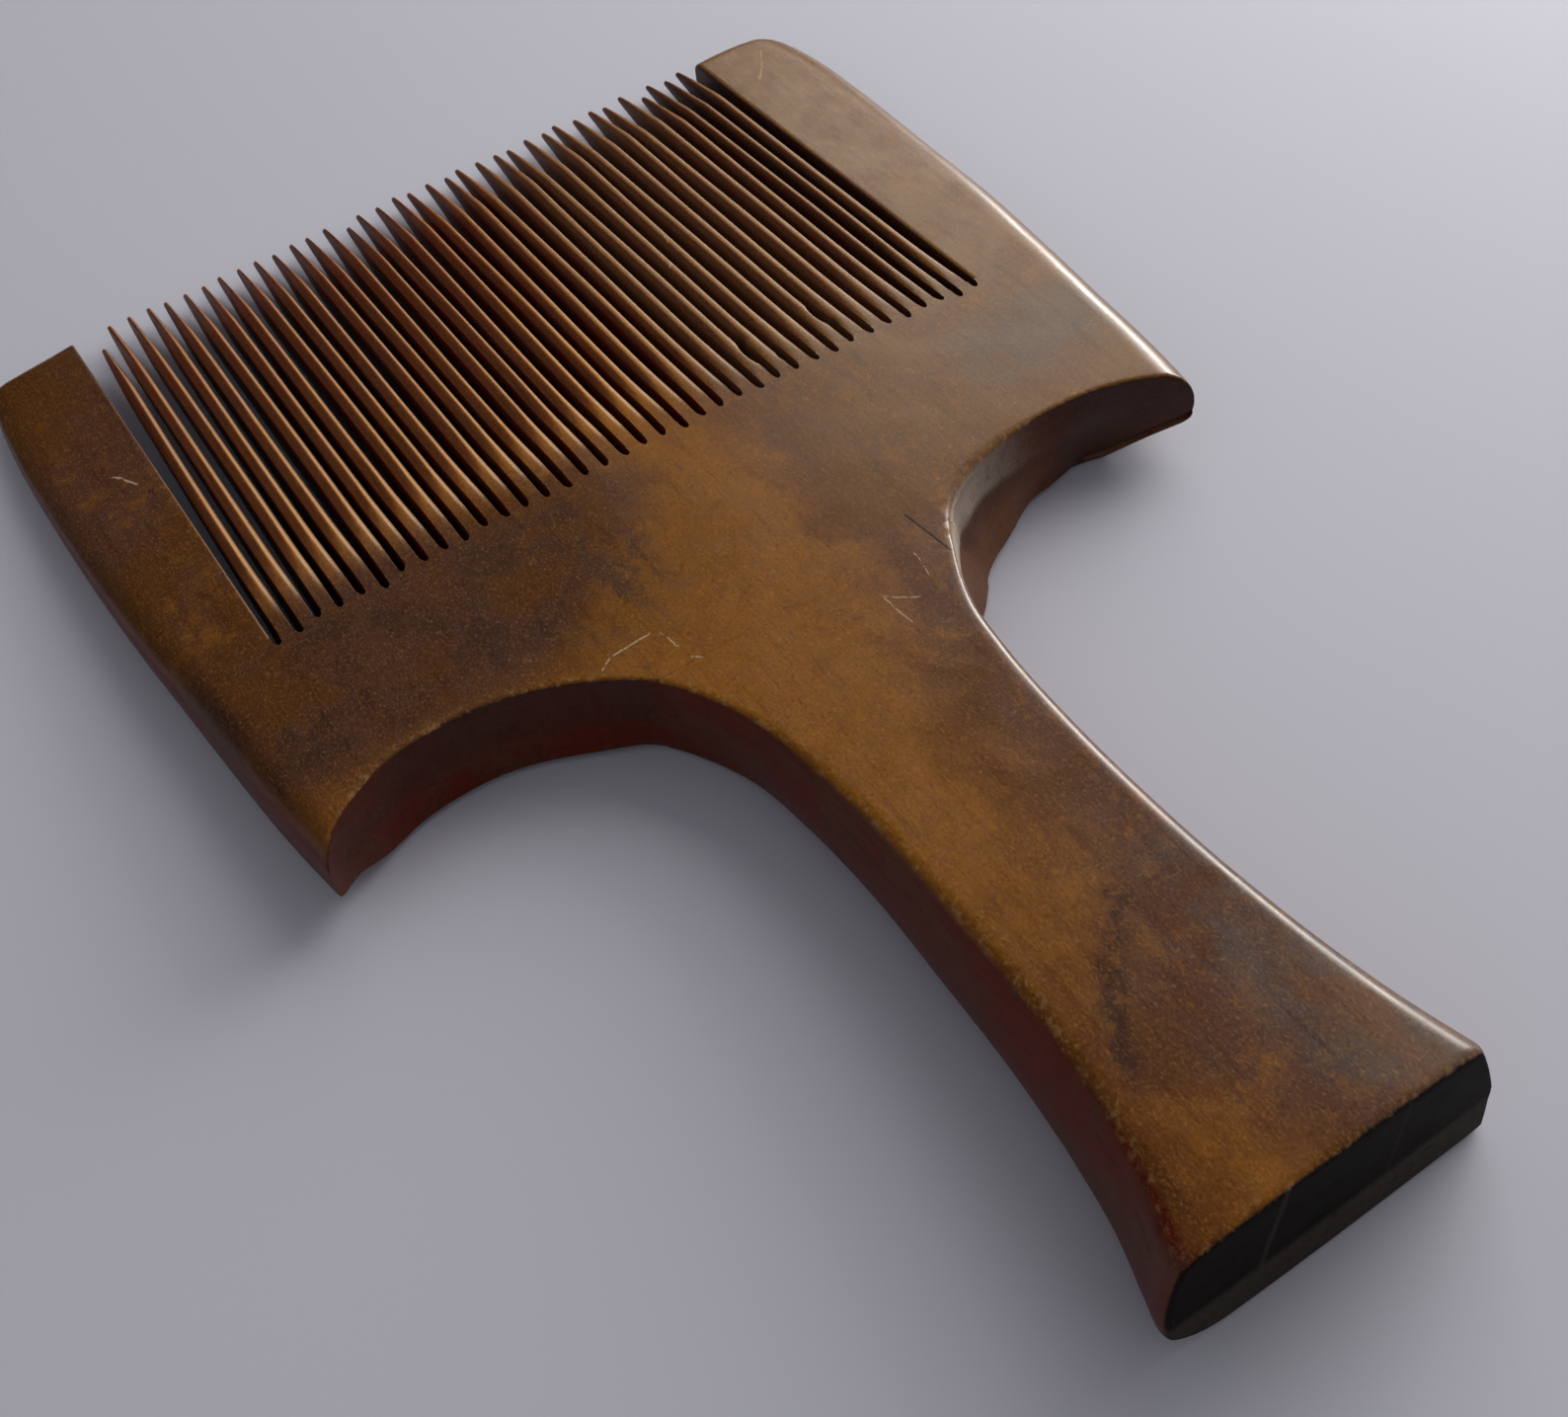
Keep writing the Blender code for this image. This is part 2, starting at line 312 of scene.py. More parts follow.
def heights(x, y, handle=False, on_rear_edge=None):
    """Return the upper and lower heights of the board with all its edges worn."""
    top, bottom = board_top(x, y), board_bottom(x, y)
    distance_back = ROOT_Y - y
    left, _ = edge_rear_left.distance(x, y)
    right, _ = edge_rear_right.distance(x, y)
    if on_rear_edge is not None:
        left = np.where(on_rear_edge & (x < 0), 0.0, left)
        right = np.where(on_rear_edge & (x > 0), 0.0, right)
    round_left = np.maximum(edge_left(distance_back), LEAST_RADIUS)
    round_right = np.maximum(edge_right(distance_back), LEAST_RADIUS)
    broad = smoothstep(16 * MM, 20 * MM, x) * smoothstep(37 * MM, 27 * MM, x)
    round_right = round_right + 0.8 * MM * broad * smoothstep(44 * MM, 34 * MM, distance_back)
    under_left = np.maximum(low_left(distance_back), LEAST_RADIUS_BELOW)
    under_right = np.maximum(low_right(distance_back), LEAST_RADIUS_BELOW)
    if handle:
        end = np.maximum(y - (ROOT_Y - END_TOP), 0)
        top = top - rounding(end, 0.9 * MM, 0.7 * MM)
        bottom = bottom + rounding(end, 0.9 * MM, 0.7 * MM)
    else:
        fall, lift = outer_sides(x, y, top - bottom)
        top = top - fall
        bottom = bottom + lift
    top = top - rounding(left, round_left, round_left) - rounding(right, round_right, round_right)
    bottom = bottom + rounding(left, under_left, under_left)
    bottom = bottom + rounding(right, under_right, under_right)
    return keep_apart(top, bottom, LEAST_THICKNESS)


def add_piece(name, mesh, material, node):
    """Show a finished piece in the place of its CAD node."""
    piece = bpy.data.objects.new(name, mesh)
    bpy.context.scene.collection.objects.link(piece)
    mesh.materials.append(material)
    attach(piece, "root")
    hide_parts(node)
    return piece


def close_mesh(shape, name):
    """Turn a shape's faces outwards and return it as a mesh."""
    bmesh.ops.recalc_face_normals(shape, faces=shape.faces)
    mesh = bpy.data.meshes.new(name)
    shape.to_mesh(mesh)
    shape.free()
    return mesh


def slab(name, x, y, top, bottom, wall_rows, wall_offset):
    """Make a closed solid from two grids of the same plan and the wall round them."""
    rows, columns = x.shape
    verts = [tuple(v) for v in np.stack([x, y, top], 2).reshape(-1, 3)]
    verts += [tuple(v) for v in np.stack([x, y, bottom], 2).reshape(-1, 3)]
    half = rows * columns
    faces = []
    for i in range(rows - 1):
        for j in range(columns - 1):
            a = i * columns + j
            b, c, d = a + columns, a + columns + 1, a + 1
            faces.append((a, b, c, d))
            faces.append((half + d, half + c, half + b, half + a))
    loop = [(i, 0) for i in range(rows)]
    loop += [(rows - 1, j) for j in range(1, columns)]
    loop += [(i, columns - 1) for i in range(rows - 2, -1, -1)]
    loop += [(0, j) for j in range(columns - 2, 0, -1)]
    plan = np.array([(x[p], y[p]) for p in loop])
    chains = []
    for k, (i, j) in enumerate(loop):
        chain = [i * columns + j]
        high, low = top[i, j], bottom[i, j]
        for share in (*np.linspace(0, 1, wall_rows + 1)[1:-1], 0.97):
            out_x, out_y = wall_offset(plan[k][0], plan[k][1], share)
            chain.append(len(verts))
            verts.append((plan[k][0] + out_x, plan[k][1] + out_y, high + (low - high) * share))
        chain.append(half + i * columns + j)
        chains.append(chain)
    for k, chain in enumerate(chains):
        other = chains[(k + 1) % len(chains)]
        for a, b, c, d in zip(chain, chain[1:], other[1:], other):
            faces.append((a, b, c, d))
    shape = bmesh.new()
    made = [shape.verts.new(v) for v in verts]
    for face in faces:
        shape.faces.new([made[i] for i in face])
    bmesh.ops.remove_doubles(shape, verts=shape.verts, dist=0.002 * MM)
    bmesh.ops.dissolve_degenerate(shape, edges=shape.edges, dist=0.001 * MM)
    return close_mesh(shape, name)


def straight_wall(x, y, share):
    """Return no offset: the wall drops straight down."""
    return 0.0, 0.0


def finish_mesh(piece, angle=35):
    """Shade a piece smooth and keep its sharp edges."""
    piece.data.shade_smooth()
    piece.data.set_sharp_from_angle(angle=radians(angle))


def edge_steps(radius):
    """Return distances from an edge that follow its rounding closely."""
    return radius * np.array([0.0, 0.03, 0.1, 0.22, 0.4, 0.62, 0.85, 1.1])


# ---------------------------------------------------------------- the back
def rear_edge(x):
    """Return the rear boundary of the blade at x, as a distance from the root line."""
    recess = np.where(x < 0, left_recess(x), right_recess(x))
    inside = (x > NECK_LEFT_X) & (x < NECK_RIGHT_X)
    return np.where(inside, -NECK_SEAM, recess)


def slope_of(curve, place):
    """Return the slope of a curve at a place."""
    return float(curve(place + SLOPE_STEP) - curve(place - SLOPE_STEP)) / (2 * SLOPE_STEP)


def across_curve(curve, x, out):
    """Return a step of a given length square to a recess curve, away from the blade."""
    slope = slope_of(curve, x)
    length = (1 + slope**2) ** 0.5
    return out * slope / length, -out / length


def recess_wall(x, y, share):
    """Return how far the wall of a recess stands out below its upper edge."""
    if y > ROOT_Y - 15 * MM:
        return 0.0, 0.0
    if NECK_LEFT_X < x < NECK_RIGHT_X:
        return neck_wall(x, share)
    if x < 0:
        return across_curve(left_recess, x, left_lean(x, share))
    return across_curve(right_recess, x, right_lean(x, share))


def neck_wall(x, share):
    """Return the offset where the back meets the handle, fading towards the middle."""
    middle = 0.5 * (NECK_LEFT_X + NECK_RIGHT_X)
    half = 0.5 * (NECK_RIGHT_X - NECK_LEFT_X)
    weight = float(smoothstep(SWELL_FROM, SWELL_FULL, abs(x - middle) / half))
    if x < middle:
        dx, dy = across_curve(left_recess, NECK_LEFT_X, left_lean(NECK_LEFT_X, share))
    else:
        dx, dy = across_curve(right_recess, NECK_RIGHT_X, right_lean(NECK_RIGHT_X, share))
    return weight * dx, weight * dy


def left_lean(x, share):
    """Return how far the left recess leans and swells out."""
    along = smoothstep(HORN_LEFT_X + 1 * MM, HORN_LEFT_X + 6 * MM, x)
    lean = 1.1 * share * smoothstep(-17 * MM, -25 * MM, x)
    bulge = float(swell_left(NECK_SEAM)) / MM * sin(pi * (0.05 + 0.88 * share)) ** 0.8
    return float(along * (lean + bulge)) * MM


def right_lean(x, share):
    """Return how far the right recess leans out: steep above a crease, upright below."""
    upper = 1.6 * float(smoothstep(49 * MM, 38 * MM, x) * (0.55 + 0.45 * smoothstep(19 * MM, 22 * MM, x)))
    lower = 2.5 * float(smoothstep(36 * MM, 25 * MM, x)) + 1.6 * float(smoothstep(44 * MM, 36 * MM, x))
    lower -= 0.4 * float(smoothstep(40 * MM, 44 * MM, x))
    crease = 0.30 + 0.08 * float(smoothstep(32 * MM, 24 * MM, x))
    if share < crease:
        return upper * MM * (share / crease) ** 0.8
    return MM * (upper + (lower - upper) * (share - crease) / (1 - crease))


def build_back(material):
    """Build the solid field behind the teeth, with its kerf ends sawn in."""
    side_steps = edge_steps(SIDE_ROUND)
    left_zone = left_side(0) + side_steps
    right_zone = right_side(0) - side_steps[::-1]
    body = np.concatenate([
        np.linspace(left_zone[-1], -20 * MM, 62)[1:],
        np.linspace(-20 * MM, -15 * MM, 15)[1:],
        np.linspace(-15 * MM, 16 * MM, 42)[1:],
        np.linspace(16 * MM, 22 * MM, 18)[1:],
        np.linspace(22 * MM, right_zone[0], 62)[1:-1],
    ])
    start_x = np.concatenate([left_zone, body, right_zone])
    for neck in (NECK_LEFT_X, NECK_RIGHT_X):
        start_x[np.abs(start_x - neck).argmin()] = neck
    follow_left = smoothstep(-24 * MM, left_side(0), start_x)
    follow_right = smoothstep(26 * MM, right_side(0), start_x)

    def column(ahead):
        shift = follow_left * (left_side(ahead) - left_side(0))
        return start_x + shift + follow_right * (right_side(ahead) - right_side(0))

    front = root_y(start_x) - ROOT_Y + SEAM_FRONT
    rear = rear_edge(start_x)
    for _ in range(30):
        rear = rear_edge(column(rear))
    near_rear = np.array([0.0, 0.02, 0.06, 0.13, 0.24, 0.38, 0.6, 0.95, 1.5]) * MM
    share = np.linspace(0, 1, 52)
    rows = []
    for t in share:
        rows.append(front + (rear + near_rear[-1] - front) * t)
    for gap in near_rear[::-1][1:]:
        rows.append(rear + gap)
    ahead = np.array(rows)
    x = np.array([column(row) for row in ahead])
    y = ROOT_Y + ahead
    on_rear = np.zeros(x.shape, bool)
    on_rear[-1] = True
    on_rear[-1, (start_x > NECK_LEFT_X + 0.01 * MM) & (start_x < NECK_RIGHT_X - 0.01 * MM)] = False
    top, bottom = heights(x, y, on_rear_edge=on_rear)
    mesh = slab("comb_back", x, y, top, bottom, 10, recess_wall)
    piece = add_piece("comb_back", mesh, material, "back")
    saw_kerfs(piece)
    finish_mesh(piece)
    mark_wear(piece)
    return piece


def kerf_end(index):
    """Return how far behind the root line a kerf was sawn."""
    deep = {0: 0.5, 1: 0.2, 5: 0.6, 14: 0.8, 20: 0.3, 27: 0.3, 35: 0.9, 36: 0.0}
    return (deep.get(index, 0.0) + 0.2 + 0.35 * sin(index * 2.3) * sin(index * 0.7 + 1)) * MM


def saw_kerfs(piece):
    """Cut the inner ends of the kerfs into the back."""
    shape = bmesh.new()
    for index in range(TOOTH_COUNT + 1):
        x = kerf_x(index)
        root = float(root_y(x))
        end = root - kerf_end(index)
        front = root + SEAM_FRONT + 2 * MM
        half = KERF / 2
        lean = 0.12 * MM * sin(index * 1.9)
        outline = [
            (x - half, front), (x - half, end + 0.9 * MM), (x - 0.72 * half + lean, end + 0.28 * MM),
            (x - 0.2 * half + lean, end), (x + 0.3 * half + lean, end + 0.05 * MM),
            (x + 0.8 * half + lean, end + 0.35 * MM), (x + half, end + 0.9 * MM), (x + half, front),
        ]
        low = [shape.verts.new((px, py, -3 * MM)) for px, py in outline]
        high = [shape.verts.new((px, py, 16 * MM)) for px, py in outline]
        shape.faces.new(low)
        shape.faces.new(high)
        for i in range(len(outline)):
            j = (i + 1) % len(outline)
            shape.faces.new((low[i], low[j], high[j], high[i]))
    cutter = bpy.data.objects.new("kerf_cutter", close_mesh(shape, "kerf_cutter"))
    bpy.context.scene.collection.objects.link(cutter)
    cut = piece.modifiers.new("kerfs", "BOOLEAN")
    cut.operation = "DIFFERENCE"
    cut.solver = "EXACT"
    cut.object = cutter
    graph = bpy.context.evaluated_depsgraph_get()
    made = bpy.data.meshes.new_from_object(piece.evaluated_get(graph))
    piece.modifiers.remove(cut)
    old = piece.data
    piece.data = made
    made.name = "comb_back"
    bpy.data.meshes.remove(old)
    bpy.data.objects.remove(cutter, do_unlink=True)


# ---------------------------------------------------------------- the handle
def shape_handle(mesh):
    """Swell the handle's sides between its faces, and lean the butt's end out."""
    for vertex in mesh.vertices:
        x, y, z = vertex.co
        behind_root = ROOT_Y - y
        height = float(board_top(x, y))
        depth = max(0.0, height - z)
        middle = 0.5 * float(handle_left(behind_root) + handle_right(behind_root))
        half = 0.5 * float(handle_right(behind_root) - handle_left(behind_root))
        weight = float(smoothstep(SWELL_FROM, SWELL_FULL, abs(x - middle) / half))
        share = min(1.0, depth / height)
        wall_share = (depth - WALL_TOP) / (height - WALL_ENDS)
        wall_share = min(1.0, max(0.0, wall_share))
        if x < middle:
            out = -float(swell_left(behind_root)) * sin(pi * share) ** 0.8
            side = handle_left
        else:
            out = float(swell_right(behind_root)) * sin(pi * share) ** 0.8
            out += float(lean_right(behind_root)) * min(1.0, share * 1.5)
            side = handle_right
        slope = slope_of(side, behind_root)
        length = (1 + slope**2) ** 0.5
        neck = float(smoothstep(46 * MM, NECK_SEAM, behind_root))
        neck_x, neck_y = neck_wall(x, wall_share) if neck > 0 else (0.0, 0.0)
        vertex.co.x += weight * out / length * (1 - neck) + neck_x * neck
        square = float(smoothstep(104 * MM, 90 * MM, behind_root))
        vertex.co.y += weight * out * slope / length * (1 - neck) * square + neck_y * neck
        near = max(0.0, 1 - (END_TOP - behind_root) / END_REACH)
        if near > 0:
            out = END_LEAN * min(1.0, depth / (END_CUT_DEPTH * MM))
            out += max(0.0, depth / MM - END_CUT_DEPTH) / END_FLARE
            vertex.co.y -= out * near * MM


def build_handle(material):
    """Build the handle: a waisted neck that swells to a thick, rounded butt."""
    far = END_TOP - 5 * MM
    spans = [
        np.linspace(NECK_SEAM + SEAM_GAP, far, 100),
        far + (END_TOP - far) * np.array([0.15, 0.3, 0.45, 0.58, 0.7, 0.8, 0.87, 0.92,
                                          0.955, 0.98, 0.994, 1.0]),
    ]
    places = np.concatenate(spans)
    across = np.concatenate([
        0.5 * np.array([0.0, 0.004, 0.014, 0.035, 0.07, 0.12, 0.18, 0.25, 0.33]),
        np.linspace(0.21, 0.79, 27),
        1 - 0.5 * np.array([0.33, 0.25, 0.18, 0.12, 0.07, 0.035, 0.014, 0.004, 0.0]),
    ])
    end_gap = np.maximum(END_TOP - places, 0)
    left = handle_left(places) + rounding(end_gap, 1.6 * MM, 1.4 * MM)
    right = handle_right(places) - rounding(end_gap, 1.6 * MM, 1.1 * MM)
    x = left[:, None] + (right - left)[:, None] * across[None, :]
    y = np.repeat((ROOT_Y - places)[:, None], len(across), 1)
    on_rear = np.zeros(x.shape, bool)
    on_rear[:, 0] = on_rear[:, -1] = True
    top, bottom = heights(x, y, handle=True, on_rear_edge=on_rear)
    mesh = slab("comb_handle", x, y, top, bottom, 12, straight_wall)
    shape_handle(mesh)
    piece = add_piece("comb_handle", mesh, material, "handle")
    finish_mesh(piece)
    mark_wear(piece)
    return piece


# ---------------------------------------------------------------- the guards
def build_guard(name, node, material, outer, tip, inner_root, inner_tip):
    """Build one wide end tooth, from the seam at its root to its worn tip."""
    width = abs(float(outer(0)) - inner_root)
    steps = edge_steps(SIDE_ROUND)[::-1]
    inner_steps = np.array([0.0, 0.04, 0.12, 0.28, 0.6]) * MM
    flat = np.linspace(inner_steps[-1], width - steps[0], 16)[1:-1]
    gaps = np.concatenate([inner_steps, flat, width - steps])
    share = gaps / width

    def column(ahead):
        inner = inner_root + (inner_tip - inner_root) * np.clip(ahead / TOOTH_LENGTH, 0, 1)
        return inner + (outer(ahead) - inner) * share

    start_x = column(np.full(len(share), SEAM_FRONT))
    front = root_y(start_x) - ROOT_Y + SEAM_FRONT + SEAM_GAP
    rear = np.full(len(share), 60 * MM)
    for _ in range(60):
        rear = 0.5 * rear + 0.5 * tip(column(rear))
    near_tip = np.array([0.0, 0.03, 0.1, 0.22, 0.4, 0.65, 1.0, 1.5, 2.2]) * MM
    rows = [front + (rear - near_tip[-1] - front) * t for t in np.linspace(0, 1, 76)]
    rows += [rear - gap for gap in near_tip[::-1][1:]]
    ahead = np.array(rows)
    x = np.array([column(row) for row in ahead])
    y = ROOT_Y + ahead
    top, bottom = heights(x, y)
    inner_gap = np.abs(x - x[:, :1])
    tip_gap = np.maximum(rear[None, :] - ahead, 0)
    thick = top - bottom
    for gap, across, down in ((inner_gap, 0.35 * MM, 0.25 * MM), (tip_gap, 1.5 * MM, 0.30 * thick)):
        fall = rounding(gap, across, np.minimum(down, 0.45 * thick))
        top = top - fall
        bottom = bottom + fall
    top, bottom = keep_apart(top, bottom, 0.3 * MM)
    mesh = slab(name, x, y, top, bottom, 5, straight_wall)
    piece = add_piece(name, mesh, material, node)
    finish_mesh(piece)
    mark_wear(piece)
    return piece


# ---------------------------------------------------------------- the teeth
# Teeth with broken points, and how much of them is gone, in millimetres.
SHORT_TEETH = {1: 4.0, 15: 1.4, 24: 0.5, 33: 1.8}
# Chips in the teeth's flanks: (tooth, side, distance from its root, length, depth).
CHIPS = ((25, 1, 6.3, 2.6, 0.42), (26, -1, 9.4, 1.3, 0.22), (29, 1, 7.3, 2.4, 0.40),
         (30, -1, 4.8, 1.2, 0.18), (26, 1, 3.2, 0.9, 0.12))


def chip(number, place, spread):
    """Return how far a tooth's flanks are pushed in by its chips."""
    push = np.zeros(len(spread))
    for tooth, side, middle, length, depth in CHIPS:
        if tooth == number:
            near = max(0.0, 1 - ((place / MM - middle) / length) ** 2)
            push -= side * depth * MM * near * np.clip(side * spread, 0, 1)
    return push


def mark_ridge_wear_and_highlight(piece, spread):
    """Mark the filed ridge of a tooth, a little to the right of its crest, as rubbed and as a painted
    highlight.
    """
    row = np.exp(-(((spread - 0.62) / 0.20) ** 2))
    ring = np.concatenate([row, 0.3 * row[::-1]])
    count = len(piece.data.vertices)
    marks = np.tile(ring, count // len(ring))
    ahead = np.repeat(np.arange(count // len(ring)), len(ring)) / (count // len(ring))
    layer = piece.data.attributes.new("ridge", "FLOAT", "POINT")
    layer.data.foreach_set("value", (marks * smoothstep(0.02, 0.3, ahead)).astype(np.float32))


def build_tooth(number, material):
    """Build one sawn and filed tooth, square at its root, ridged, then pointed."""
    node = f"tooth_{number:02d}"
    low_x = kerf_x(number - 1) + KERF / 2
    high_x = kerf_x(number) - KERF / 2
    centre = 0.5 * (low_x + high_x)
    base = float(root_y(centre)) - ROOT_Y
    across = (number - 1) / (TOOTH_COUNT - 1)
    aside = (across * 2 - 1) ** 2 * (1.0 if across > 0.5 else 0.35)
    length = TOOTH_LENGTH + (0.3 + aside) * MM
    length -= (0.35 + 0.3 * sin(number * 3.1) + 0.2 * sin(number * 1.3)) * MM
    length -= SHORT_TEETH.get(number, 0.0) * MM
    sway = 0.22 * MM * sin(number * 2.17 + 0.4)
    bow = 0.13 * MM * sin(number * 4.3 + 1.1)
    places = np.concatenate([
        [SEAM_FRONT + SEAM_GAP],
        np.linspace(1.8 * MM, 13 * MM, 24),
        np.linspace(14.5 * MM, length - 13 * MM, 20),
        length - np.array([11.5, 10, 8.5, 7, 5.6, 4.4, 3.3, 2.3, 1.5, 0.8, 0.35, 0.1, 0.0]) * MM,
    ])
    spread = np.array([-1, -0.95, -0.8, -0.55, -0.3, -0.05, 0.15, 0.3, 0.45, 0.65, 0.85, 0.96, 1.0])
    pale = float(smoothstep(0.42, 0.68, across))
    ridge = 0.3 - 0.2 * pale
    rings = []
    start = (2.5 - 2.5 * float(smoothstep(0.5, 0.75, across))) * MM
    for place in places:
        y = ROOT_Y + base + place
        reach = place / TOOTH_LENGTH
        x_mid = centre + sway * reach**2 + bow * sin(pi * min(reach, 1.0) * 1.5)
        point = float(np.clip((length - place) / POINT_LENGTH, 0, 1))
        narrow = 0.34 + 0.66 * point**0.7
        narrow *= 1 - 0.06 * float(smoothstep(6 * MM, 40 * MM, place))
        filed = float(smoothstep(start, FILED_FULLY, place))
        xs = x_mid + (high_x - low_x) / 2 * narrow * spread
        xs += chip(number, place, spread)
        high = float(board_top(x_mid, y))
        low = float(board_bottom(x_mid, y))
        middle = 0.5 * (high + low)
        full = 0.5 * (high - low)
        full *= 0.16 + 0.84 * float(np.clip((length - place) / THINNING_LENGTH, 0, 1)) ** 0.65
        slope = np.abs(spread - ridge) / np.where(spread > ridge, 1 - ridge, 1 + ridge)
        fall = filed * min(RIDGE_FALL, 0.7 * full) * slope ** (1.6 + 1.6 * pale)
        arris = (1 - filed) * ROOT_ARRIS * (np.abs(spread) > 0.95)
        upper = middle + full - fall - arris
        lower = middle - full + fall + arris
        ring = [(px, y, pz) for px, pz in zip(xs, upper)]
        ring += [(px, y, pz) for px, pz in zip(xs[::-1], lower[::-1])]
        rings.append(ring)
    shape = bmesh.new()
    loops = [[shape.verts.new(p) for p in ring] for ring in rings]
    count = len(loops[0])
    for near, beyond in zip(loops, loops[1:]):
        for i in range(count):
            j = (i + 1) % count
            shape.faces.new((near[i], near[j], beyond[j], beyond[i]))
    shape.faces.new(loops[0])
    shape.faces.new(loops[-1])
    mesh = close_mesh(shape, "comb_" + node)
    piece = add_piece("comb_" + node, mesh, material, node)
    finish_mesh(piece, 40)
    mark_ridge_wear_and_highlight(piece, spread)
    return piece


# ---------------------------------------------------------------- materials
GOLDEN = (0.268, 0.094, 0.004)
BROWN = (0.135, 0.046, 0.009)
MAUVE = (0.120, 0.047, 0.024)
DARK_STAIN_AND_SHADE = (0.050, 0.021, 0.016)
GREY_STAIN_AND_SHEEN = (0.100, 0.078, 0.066)
FLANK_RED = (0.120, 0.015, 0.005)
FLANK_BROWN = (0.105, 0.032, 0.015)
RECESS_BROWN = (0.150, 0.062, 0.028)
PAINTED_RECESS_HIGHLIGHT = (0.600, 0.500, 0.400)
TOOTH_GOLD = (0.700, 0.270, 0.055)
TOOTH_RED = (0.430, 0.110, 0.024)
TOOTH_FLANK_AND_SHADE = (0.130, 0.028, 0.008)
TOOTH_TAN_AND_SHEEN = (0.300, 0.150, 0.052)
HORN_BROWN_AND_SHADE = (0.055, 0.024, 0.014)
TAN = (0.195, 0.086, 0.022)
BUTT_RED = (0.120, 0.034, 0.006)
BUTT_TAN = (0.210, 0.110, 0.060)
END_GRAIN_AND_SHADE = (0.009, 0.005, 0.004)
END_GREY_AND_BOUNCE_LIGHT = (0.052, 0.042, 0.034)
RUBBED = (0.46, 0.27, 0.10)
SCRATCH = (0.50, 0.36, 0.20)
CREST_WEAR_AND_HIGHLIGHT = (0.52, 0.34, 0.17)

# Scratches and the hairline crack: ends as (x, distance in front of the root line).
SCRATCHES = (
    ((-21.6, -27.4), (-19.6, -26.2), 0.10), ((-19.6, -26.2), (-15.0, -25.9), 0.09),
    ((-14.3, -26.2), (-13.8, -29.6), 0.07), ((-13.6, -31.2), (-12.4, -32.4), 0.08),
    ((17.2, 23.0), (21.2, 33.5), 0.08), ((6.9, -36.6), (7.3, -42.0), 0.06),
    ((7.0, -36.8), (9.6, -39.4), 0.06), ((12.9, -33.4), (12.0, -37.6), 0.06),
    ((50.0, 55.0), (55.5, 63.0), 0.10), ((-53.5, 37.0), (-50.8, 33.4), 0.10),
)
CRACK = ((15.4, -28.2), (16.1, -36.2), 0.10)


def mark_wear(piece):
    """Record how much each point has been rubbed, from its distance to the edges."""
    mesh = piece.data
    count = len(mesh.vertices)
    places = np.empty(count * 3)
    mesh.vertices.foreach_get("co", places)
    x, y, z = places.reshape(-1, 3).T
    depth = np.maximum(board_top(x, y) - z, 0)
    gaps = [edge.distance(x, y)[0] for edge in
            (edge_rear_left, edge_rear_right, edge_outer_left, edge_outer_right)]
    end = np.abs(y - (ROOT_Y - END_TOP))
    near = np.minimum(np.min(gaps, axis=0), end)
    away = np.hypot(near, depth)
    rubbed = np.exp(-((away / WEAR_WIDTH) ** 2))
    layer = mesh.attributes.new("rubbed", "FLOAT", "POINT")
    layer.data.foreach_set("value", rubbed.astype(np.float32))


